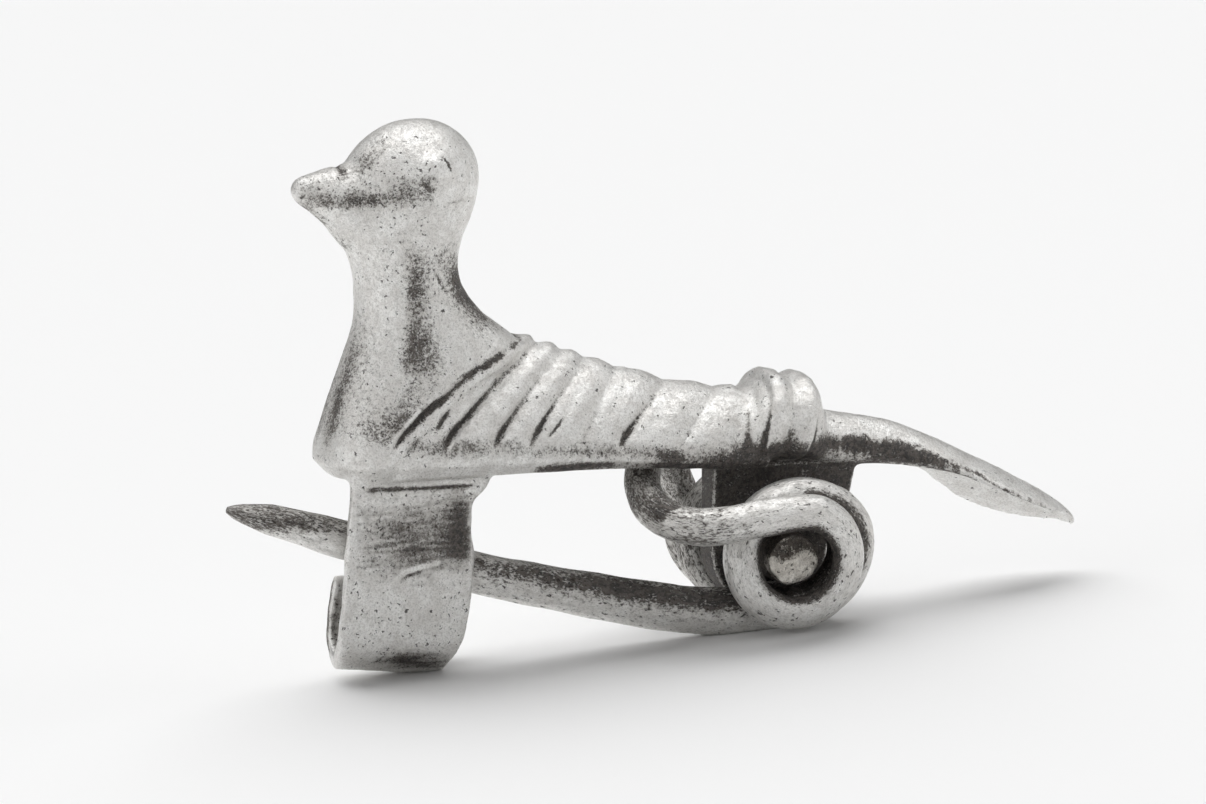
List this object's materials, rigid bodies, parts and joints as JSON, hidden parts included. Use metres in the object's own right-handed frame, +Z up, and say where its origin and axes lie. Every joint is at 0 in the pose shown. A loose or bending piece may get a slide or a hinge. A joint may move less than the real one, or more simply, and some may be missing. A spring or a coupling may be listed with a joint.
{
  "type": "fibula brooch",
  "caption": "Bird-shaped silver fibula brooch: ridged bow body, hammered catch plate, and a sprung wire pin wound on an axle under the tail.",
  "frame": {"origin": "on the table, under the middle of the brooch's bounding box", "axes": "+X from the bird's head towards its tail, +Y from the near flank to the far flank, +Z up from the table"},
  "size_m": [0.0438, 0.0124, 0.0271],
  "materials": {
    "bow_silver": "worn cast silver with dark tarnish in the grooves",
    "axle_silver": "rough tarnished silver",
    "wire_silver": "worn drawn silver wire with dark streaks"
  },
  "bodies": {
    "bow_body": {"bow": "bow_silver", "axle": "axle_silver"},
    "pin_body": {"spring_pin": "wire_silver"}
  },
  "joints": [
    {"name": "pin_swing", "type": "hinge", "parent": "bow_body", "child": "pin_body", "pos_m": [0.00559, 0.00037, 0.00362], "axis": [0, 1, 0], "range_deg": [-9, 4], "stiffness_Nm_per_rad": 0.03}
  ]
}
